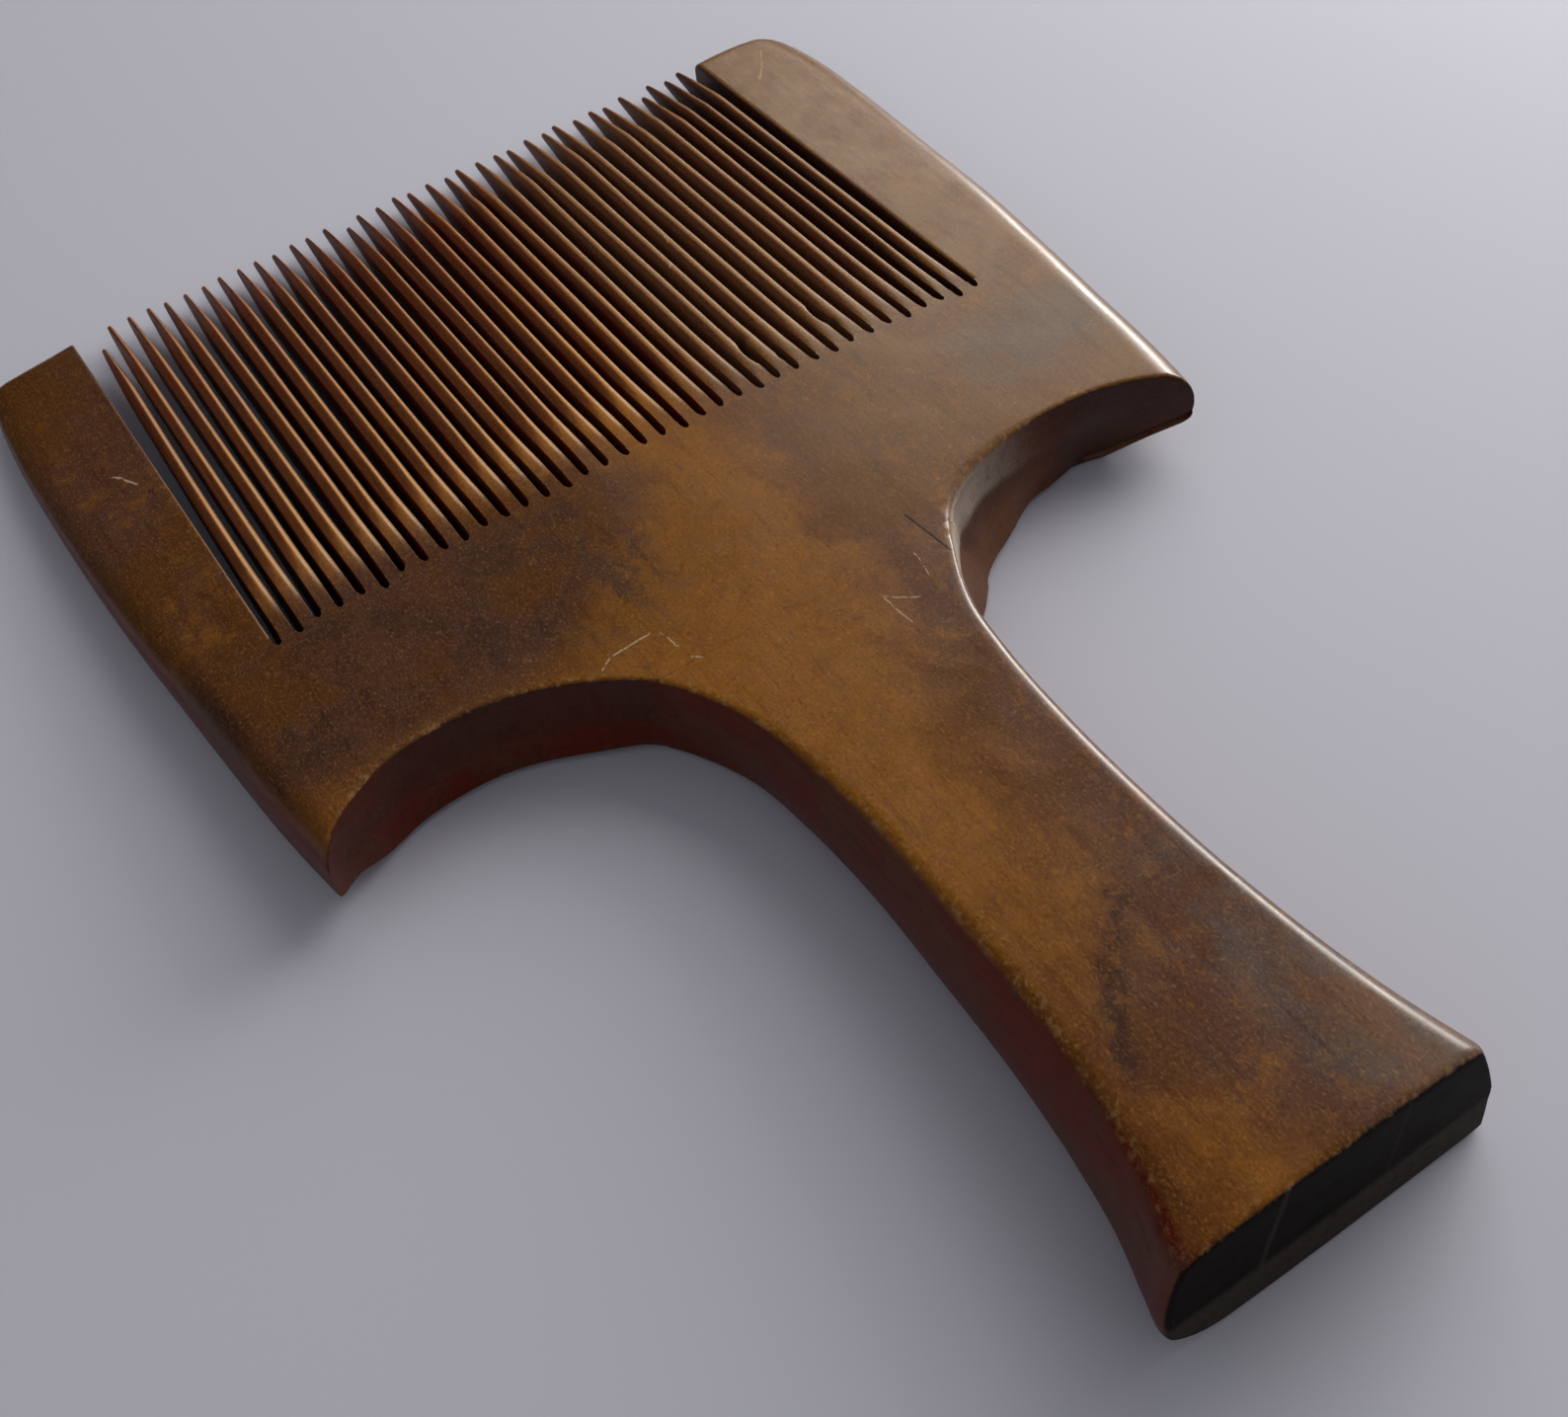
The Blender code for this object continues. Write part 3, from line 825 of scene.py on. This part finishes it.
class Graph:
    """A material and the short calls that wire its nodes together."""

    def __init__(self, name):
        self.material = bpy.data.materials.new(name)
        self.material.use_nodes = True
        self.nodes = self.material.node_tree.nodes
        self.links = self.material.node_tree.links
        self.shader = self.nodes["Principled BSDF"]

    def plug(self, socket, value):
        """Feed a socket from another node, or set it to a value."""
        if isinstance(value, bpy.types.NodeSocket):
            self.links.new(value, socket)
        elif isinstance(value, tuple) and socket.type == "RGBA":
            socket.default_value = (*value, 1.0)
        else:
            socket.default_value = value

    def math(self, operation, first, second=0.0):
        """Return the result of one sum."""
        node = self.nodes.new("ShaderNodeMath")
        node.operation = operation
        self.plug(node.inputs[0], first)
        self.plug(node.inputs[1], second)
        return node.outputs[0]

    def vector(self, operation, first, second):
        """Return the result of one sum of vectors."""
        node = self.nodes.new("ShaderNodeVectorMath")
        node.operation = operation
        self.plug(node.inputs[0], first)
        self.plug(node.inputs[1], second)
        return node.outputs[0]

    def attribute(self, name):
        """Return a value stored on the points of the mesh."""
        node = self.nodes.new("ShaderNodeAttribute")
        node.attribute_name = name
        return node.outputs["Fac"]

    def split(self, value):
        """Return the three parts of a vector."""
        node = self.nodes.new("ShaderNodeSeparateXYZ")
        self.plug(node.inputs[0], value)
        return node.outputs[0], node.outputs[1], node.outputs[2]

    def ramp(self, value, low, high, from_low=0.0, to_high=1.0):
        """Rise or fall smoothly as the value goes from low to high."""
        node = self.nodes.new("ShaderNodeMapRange")
        node.interpolation_type = "SMOOTHSTEP"
        for socket, number in zip(node.inputs, (value, low, high, from_low, to_high)):
            self.plug(socket, number)
        return node.outputs[0]

    def noise(self, place, stretch, detail=3.0, rough=0.55, seed=0.0, twist=0.0):
        """Return noise from 0 to 1 with its own stretch along each axis."""
        moved = self.vector("MULTIPLY", place, stretch)
        moved = self.vector("ADD", moved, (seed, seed * 1.7, seed * 0.6))
        node = self.nodes.new("ShaderNodeTexNoise")
        self.plug(node.inputs["Vector"], moved)
        node.inputs["Scale"].default_value = 1.0
        node.inputs["Detail"].default_value = detail
        node.inputs["Roughness"].default_value = rough
        node.inputs["Distortion"].default_value = twist
        return node.outputs["Fac"]

    def mix(self, share, first, second, blend="MIX"):
        """Return two colours mixed."""
        node = self.nodes.new("ShaderNodeMix")
        node.data_type = "RGBA"
        node.blend_type = blend
        self.plug(node.inputs[0], share)
        self.plug(node.inputs[6], first)
        self.plug(node.inputs[7], second)
        return node.outputs[2]

    def times(self, *values):
        """Return the product of several values."""
        total = values[0]
        for value in values[1:]:
            total = self.math("MULTIPLY", total, value)
        return total

    def line(self, x, ahead, start, end, width):
        """Return 1 on a thin straight line between two places, and 0 away from it."""
        (x0, y0), (x1, y1) = start, end
        length = ((x1 - x0) ** 2 + (y1 - y0) ** 2) ** 0.5
        ux, uy = (x1 - x0) / length, (y1 - y0) / length
        gap_x = self.math("SUBTRACT", x, x0)
        gap_y = self.math("SUBTRACT", ahead, y0)
        along = self.math("ADD", self.times(gap_x, ux), self.times(gap_y, uy))
        off = self.math("SUBTRACT", self.times(gap_x, uy), self.times(gap_y, ux))
        thin = self.ramp(self.math("ABSOLUTE", off), width * 2, width * 0.5)
        middle = self.math("ABSOLUTE", self.math("SUBTRACT", along, length / 2))
        return self.times(thin, self.ramp(middle, length / 2, length / 2 - 0.5))


def comb_wood(name):
    """Return the comb's wood: the same figure runs on through every piece."""
    g = Graph(name)
    coordinates = g.nodes.new("ShaderNodeTexCoord")
    place = g.vector("SUBTRACT", coordinates.outputs["Object"], (0.0, ROOT_Y, 0.0))
    place = g.vector("DIVIDE", place, (MM, MM, MM))
    x, ahead, z = g.split(place)
    face_x, face_y, face_z = g.split(coordinates.outputs["Normal"])

    broad = g.noise(place, (0.040, 0.028, 0.05), 3.0, 0.5, 3.1)
    cloud = g.noise(place, (0.13, 0.10, 0.13), 5.0, 0.6, 11.0, 0.6)
    mottle = g.noise(place, (0.45, 0.35, 0.45), 4.0, 0.65, 5.0, 0.4)
    fleck = g.noise(place, (1.9, 1.2, 1.9), 3.0, 0.6, 7.7)
    fibre = g.noise(place, (3.4, 0.20, 3.4), 4.0, 0.6, 2.0)
    streak = g.noise(place, (0.9, 0.035, 0.9), 4.0, 0.55, 9.0)
    drift = g.math("SUBTRACT", cloud, 0.5)
    wander = g.times(drift, 16.0)

    # Golden heartwood down the middle and the handle's left half.
    right_limit = g.math("ADD", g.ramp(ahead, -30.0, -52.0, 9.5, 2.8),
                         g.ramp(ahead, -76.0, -93.0, 0.0, -10.5))
    right_limit = g.math("ADD", right_limit, g.ramp(ahead, -94.0, -103.0, 0.0, 6.5))
    left_limit = g.ramp(ahead, -4.0, -27.0, -5.0, -26.0)
    inside = g.math("SUBTRACT", g.math("ADD", right_limit, wander), x)
    golden = g.ramp(inside, -5.0, 6.0)
    golden = g.times(golden, g.ramp(g.math("SUBTRACT", g.math("ADD", x, wander), left_limit), -3.0, 5.0))
    left_band = g.times(g.ramp(ahead, -18.0, -29.0), g.ramp(x, 12.0, -12.0))
    golden = g.math("MAXIMUM", golden, g.times(left_band, 0.9, g.ramp(inside, -5.0, 6.0)))
    golden = g.times(golden, g.ramp(mottle, 0.25, 0.6, 0.70, 1.0), g.ramp(cloud, 0.30, 0.55, 0.70, 1.0))
    tan = g.mix(g.ramp(g.math("ADD", broad, g.times(drift, 0.5)), 0.38, 0.62), BROWN, MAUVE)
    pale_right = g.times(g.ramp(x, 6.0, 22.0), g.ramp(ahead, -34.0, -24.0))
    tan = g.mix(g.times(pale_right, g.ramp(cloud, 0.65, 0.35, 0.5, 1.0)), tan, TAN)
    face = g.mix(golden, tan, GOLDEN)
    butt_left = g.times(g.ramp(x, -4.0, -12.0), g.ramp(ahead, -66.0, -88.0))
    face = g.mix(g.times(butt_left, 0.75), face, BUTT_RED)
    butt_right = g.times(g.ramp(x, 5.0, 12.0), g.ramp(ahead, -88.0, -100.0))
    face = g.mix(g.times(butt_right, 0.7), face, BUTT_TAN)

    # Golden mottling in the brown.
    warm = g.ramp(g.math("ADD", g.times(mottle, 0.6), g.times(cloud, 0.4)), 0.50, 0.64)
    face = g.mix(g.times(warm, 0.55), face, GOLDEN)

    # Purple-brown patches low on the left of the blade.
    low_left = g.times(g.ramp(x, 2.0, -12.0), g.ramp(ahead, 4.0, -5.0), g.ramp(ahead, -27.0, -19.0))
    patch = g.ramp(g.math("ADD", g.times(cloud, 0.7), g.times(mottle, 0.5)), 0.52, 0.72)
    face = g.mix(g.times(low_left, patch, 0.75), face, DARK_STAIN_AND_SHADE)
    # A dark tide line across the handle where the colours meet.
    tide = g.math("ABSOLUTE", g.math("SUBTRACT", g.math("SUBTRACT", x, right_limit), g.times(drift, 6.0)))
    tide = g.times(g.ramp(tide, 3.2, 0.4), g.ramp(ahead, -72.0, -80.0), g.ramp(ahead, -99.0, -92.0))
    face = g.mix(g.times(tide, g.ramp(mottle, 0.38, 0.6), 0.85), face, DARK_STAIN_AND_SHADE)
    # Grey on the right of the blade and of the butt: weathering with painted sheen.
    grey_x = g.times(g.math("SUBTRACT", x, 45.0), 0.075)
    grey_y = g.times(g.math("SUBTRACT", ahead, -13.0), 0.12)
    spot = g.math("SQRT", g.math("ADD", g.times(grey_x, grey_x), g.times(grey_y, grey_y)))
    spot = g.ramp(g.math("ADD", spot, g.times(drift, 2.0)), 1.1, 0.3)
    low_right = g.times(g.ramp(x, 1.0, 7.0), g.ramp(ahead, -72.0, -84.0))
    grey_and_sheen = g.math("MAXIMUM", g.times(spot, 0.6), g.times(low_right, g.ramp(cloud, 0.42, 0.62), 0.6))
    face = g.mix(grey_and_sheen, face, GREY_STAIN_AND_SHEEN)

    face = g.mix(g.times(g.ramp(x, -4.0, -24.0), g.ramp(ahead, -34.0, -24.0), 0.30), face,
                 (0.35, 0.32, 0.35), "MULTIPLY")

    # Along the teeth the wood turns from gold to dark red, but stays pale on the right, partly as painted
    # sheen.
    if name == "tooth_wood":
        along = g.ramp(ahead, 1.0, 14.0)
        toward_right = g.ramp(x, -4.0, 16.0)
        toward_tip = g.ramp(g.math("ADD", ahead, g.times(drift, 40.0)), 16.0, 52.0)
        tooth = g.mix(toward_tip, TOOTH_GOLD, TOOTH_RED)
        tooth = g.mix(g.times(toward_right, 0.85), tooth, TOOTH_TAN_AND_SHEEN)
        face = g.mix(g.times(along, 0.85), face, tooth)
        # Flanks of the teeth turn darker: redder wood and painted shade down into the kerfs.
        left_slope = g.ramp(face_x, -0.12, -0.45)
        right_slope = g.times(g.ramp(face_x, 0.30, 0.60), toward_right)
        slope = g.math("MAXIMUM", left_slope, right_slope)
        face = g.mix(g.times(along, slope, 0.85), face, TOOTH_FLANK_AND_SHADE)

    # Sides are redder and darker; the butt and the horns show end grain, darkened further with painted
    # shade.
    depth = g.math("SUBTRACT", g.math("SUBTRACT", ROOT_THICKNESS / MM, g.times(ahead, TAPER)), z)
    left_side_face = g.times(g.ramp(x, -4.0, -7.0), g.ramp(ahead, -30.0, -40.0), g.ramp(depth, 0.55, 1.0))
    side = g.math("MAXIMUM", g.ramp(face_z, 0.88, 0.35), left_side_face)
    flank = g.mix(g.ramp(cloud, 0.4, 0.62), FLANK_RED, FLANK_BROWN)
    right_side = g.ramp(x, 8.0, 14.0)
    flank = g.mix(g.times(right_side, g.ramp(x, 42.0, 30.0)), flank, RECESS_BROWN)
    # The sides towards the right horn turn dark, partly as painted shade.
    flank = g.mix(g.ramp(x, 34.0, 42.0, 0.0, 0.85), flank, HORN_BROWN_AND_SHADE)
    # Painted highlight: a pale band high on the right recess's wall, where its upper facet catches the
    # light.
    highlight_band = g.times(right_side, g.ramp(x, 36.0, 24.0), g.ramp(depth, 4.6, 3.4), g.ramp(ahead, -46.0, -38.0))
    flank = g.mix(g.times(highlight_band, g.ramp(mottle, 0.2, 0.5, 0.6, 0.95), g.ramp(ahead, -20.0, -22.0)),
                  flank, PAINTED_RECESS_HIGHLIGHT)
    colour = g.mix(side, face, flank)
    end_face = g.ramp(face_y, -0.45, -0.8)
    butt = g.times(end_face, g.ramp(ahead, -100.0, -106.0))
    growth = g.math("ABSOLUTE", g.math("SUBTRACT", x, g.math("ADD", g.times(z, 0.08), -6.6)))
    ring = g.ramp(growth, 0.55, 0.1)
    far_growth = g.math("ABSOLUTE", g.math("SUBTRACT", x, 8.0))
    ring = g.math("MAXIMUM", ring, g.times(g.ramp(far_growth, 0.4, 0.1), 0.4))
    # The butt's end: near black above, dark end grain with painted shade; grey low down, painted light
    # bounced up from the table; pale lines run up it.
    end_colour = g.mix(g.times(ring, 0.6), g.mix(g.ramp(z, 6.2, 4.4), END_GRAIN_AND_SHADE, END_GREY_AND_BOUNCE_LIGHT), END_GREY_AND_BOUNCE_LIGHT)
    colour = g.mix(butt, colour, end_colour)
    # Painted shade: the upper part of the recess walls that face the handle is darkened.
    recess_shade = g.times(end_face, g.ramp(ahead, -70.0, -50.0), g.ramp(z, 4.0, 7.0))
    colour = g.mix(g.times(recess_shade, 0.6), colour, DARK_STAIN_AND_SHADE)

    # Fine grain along the board.
    colour = g.mix(g.ramp(fibre, 0.30, 0.55, 0.30, 0.0), colour, (0.45, 0.36, 0.30), "MULTIPLY")
    colour = g.mix(g.ramp(streak, 0.52, 0.74, 0.0, 0.45), colour, (0.45, 0.34, 0.28), "MULTIPLY")
    fine = g.noise(place, (4.2, 2.4, 4.2), 3.0, 0.7, 31.0)
    colour = g.mix(g.ramp(fine, 0.30, 0.50, 0.55, 0.0), colour, (0.40, 0.30, 0.26), "MULTIPLY")
    # Painted glints: golden specks on the upward faces.
    glint = g.times(g.ramp(fine, 0.52, 0.72, 0.0, 0.28), g.ramp(face_z, 0.4, 0.9))
    colour = g.mix(glint, colour, (0.46, 0.25, 0.06))
    colour = g.mix(g.ramp(fleck, 0.55, 0.75, 0.0, 0.5), colour, (1.0, 0.86, 0.55), "SOFT_LIGHT")

    # Rubbed edges, scratches and the crack.
    chips = g.noise(place, (1.1, 1.1, 1.1), 3.0, 0.6, 15.0)
    worn = g.times(g.attribute("rubbed"), g.ramp(chips, 0.50, 0.66), g.ramp(face_z, 0.30, 0.75))
    colour = g.mix(g.times(worn, 0.4), colour, RUBBED)
    # A pale line along each tooth's ridge: wear and a painted highlight.
    crest = g.times(g.attribute("ridge"), g.ramp(ahead, 66.0, 48.0, 0.35, 1.0))
    colour = g.mix(g.times(crest, g.ramp(fleck, 0.25, 0.5, 0.55, 0.9)), colour, CREST_WEAR_AND_HIGHLIGHT)
    marks = None
    for start, end, width in SCRATCHES:
        mark = g.line(g.math("ADD", x, g.times(drift, 3.0)), ahead, start, end, width)
        marks = mark if marks is None else g.math("MAXIMUM", marks, mark)
    marks = g.times(marks, g.ramp(fleck, 0.36, 0.52), g.ramp(face_z, 0.8, 0.95))
    colour = g.mix(g.times(marks, 0.75), colour, SCRATCH)
    hairs = g.noise(place, (0.35, 5.0, 1.0), 2.0, 0.5, 21.0, 1.5)
    hairs = g.times(g.ramp(hairs, 0.70, 0.78), g.ramp(cloud, 0.45, 0.6), g.ramp(face_z, 0.8, 0.95))
    colour = g.mix(g.times(hairs, 0.30), colour, SCRATCH)
    crack = g.line(x, ahead, *CRACK)
    colour = g.mix(g.times(crack, g.ramp(face_z, 0.8, 0.95), 0.9), colour, END_GRAIN_AND_SHADE)
    g.plug(g.shader.inputs["Base Color"], colour)

    # Polished by use, duller on the sides, the end grain and the scratches.
    gloss = g.math("ADD", g.ramp(cloud, 0.35, 0.65, 0.25, 0.31), g.ramp(fibre, 0.35, 0.65, 0.04, 0.0))
    gloss = g.math("ADD", gloss, g.times(side, 0.10))
    gloss = g.math("ADD", gloss, g.times(g.math("MAXIMUM", butt, marks), 0.25))
    g.plug(g.shader.inputs["Roughness"], gloss)

    shine = g.math("SUBTRACT", 0.45, g.times(side, 0.32))
    g.plug(g.shader.inputs["Specular IOR Level"], g.math("SUBTRACT", shine, g.times(butt, 0.08)))

    relief = g.math("ADD", g.times(fibre, 0.55), g.times(fleck, 0.35))
    relief = g.math("ADD", relief, g.times(mottle, 0.5))
    relief = g.math("SUBTRACT", relief, g.times(crack, 0.6))
    relief = g.math("SUBTRACT", relief, g.times(marks, 0.8))
    bump = g.nodes.new("ShaderNodeBump")
    bump.inputs["Strength"].default_value = 0.8
    bump.inputs["Distance"].default_value = 0.014 * MM
    g.plug(bump.inputs["Height"], relief)
    g.plug(g.shader.inputs["Normal"], bump.outputs["Normal"])
    return g.material


# ---------------------------------------------------------------- the set
FLOOR_SIZE = 6
FLOOR_COLOUR = (0.60, 0.585, 0.63, 1)
FLOOR_ROUGHNESS = 0.9
SKY_COLOUR = (0.80, 0.82, 0.90, 1)
SKY_STRENGTH = 0.32
# Area lights: (name, place, aim, size, watts, colour, whether it lights only reflections).
LIGHTS = (
    ("softbox", (0.78, 0.45, 0.62), (0, 0, 0), (1.1, 1.1), 8, (1.0, 0.99, 0.98), False),
    ("glow", (0.36, 0.05, 0.16), (0.2, 0.02, 0), (0.22, 0.22), 0.55, (1.0, 1.0, 1.0), False),
    ("window", (0.72, 0.92, 0.55), (0, 0, 0), (0.5, 0.45), 2.2, (1.0, 0.92, 0.80), True),
    ("side_window", (0.94, 0.50, 0.26), (0, 0, 0), (0.5, 0.3), 9, (1.0, 0.97, 0.92), True),
)
# The camera stands over the left of the butt and looks down across the board.
CAMERA_PLACE = (-0.05815, ROOT_Y - 0.13521, 0.15495)
CAMERA_TURN = (36.11, 4.011, -33.26)
CAMERA_LENS = 40.82
SENSOR_WIDTH = 36


def build_floor():
    """Make the plain pale floor."""
    bpy.ops.mesh.primitive_plane_add(size=FLOOR_SIZE, location=(0, 0, 0))
    floor = bpy.context.object
    floor.name = "floor"
    material = bpy.data.materials.new("pale_floor")
    material.use_nodes = True
    shader = material.node_tree.nodes["Principled BSDF"]
    shader.inputs["Base Color"].default_value = FLOOR_COLOUR
    shader.inputs["Roughness"].default_value = FLOOR_ROUGHNESS
    floor.data.materials.append(material)


def build_lights():
    """Make the area lights and the even light from all round."""
    for name, place, aim, size, watts, colour, shiny in LIGHTS:
        data = bpy.data.lights.new(name, "AREA")
        data.shape = "RECTANGLE"
        data.size, data.size_y = size
        data.energy = watts
        data.color = colour
        light = bpy.data.objects.new(name, data)
        light.location = place
        light.rotation_mode = "QUATERNION"
        light.rotation_quaternion = (Vector(aim) - Vector(place)).to_track_quat("-Z", "Y")
        light.visible_glossy = shiny
        light.visible_diffuse = not shiny
        bpy.context.scene.collection.objects.link(light)
    world = bpy.data.worlds.new("studio")
    world.use_nodes = True
    background = world.node_tree.nodes["Background"]
    background.inputs["Color"].default_value = SKY_COLOUR
    background.inputs["Strength"].default_value = SKY_STRENGTH
    world.cycles_visibility.glossy = False
    bpy.context.scene.world = world


def build_camera():
    """Make the camera."""
    data = bpy.data.cameras.new("camera")
    data.sensor_width = SENSOR_WIDTH
    data.lens = CAMERA_LENS
    data.clip_start = 0.01
    camera = bpy.data.objects.new("camera", data)
    camera.location = CAMERA_PLACE
    camera.rotation_euler = [radians(turn) for turn in CAMERA_TURN]
    bpy.context.scene.collection.objects.link(camera)
    bpy.context.scene.camera = camera
    bpy.context.scene.view_settings.view_transform = "Standard"


build_floor()
build_lights()
build_camera()
build_back(comb_wood("back_wood"))
build_handle(comb_wood("handle_wood"))
guard_wood = comb_wood("guard_wood")
build_guard("comb_guard_left", "end_guard_left", guard_wood, left_side, left_tip,
            kerf_x(0) - KERF / 2, GUARD_TIP_LEFT_X)
build_guard("comb_guard_right", "end_guard_right", guard_wood, right_side, right_tip,
            kerf_x(TOOTH_COUNT) + KERF / 2, GUARD_TIP_RIGHT_X)
tooth_wood = comb_wood("tooth_wood")
for number in range(1, TOOTH_COUNT + 1):
    build_tooth(number, tooth_wood)
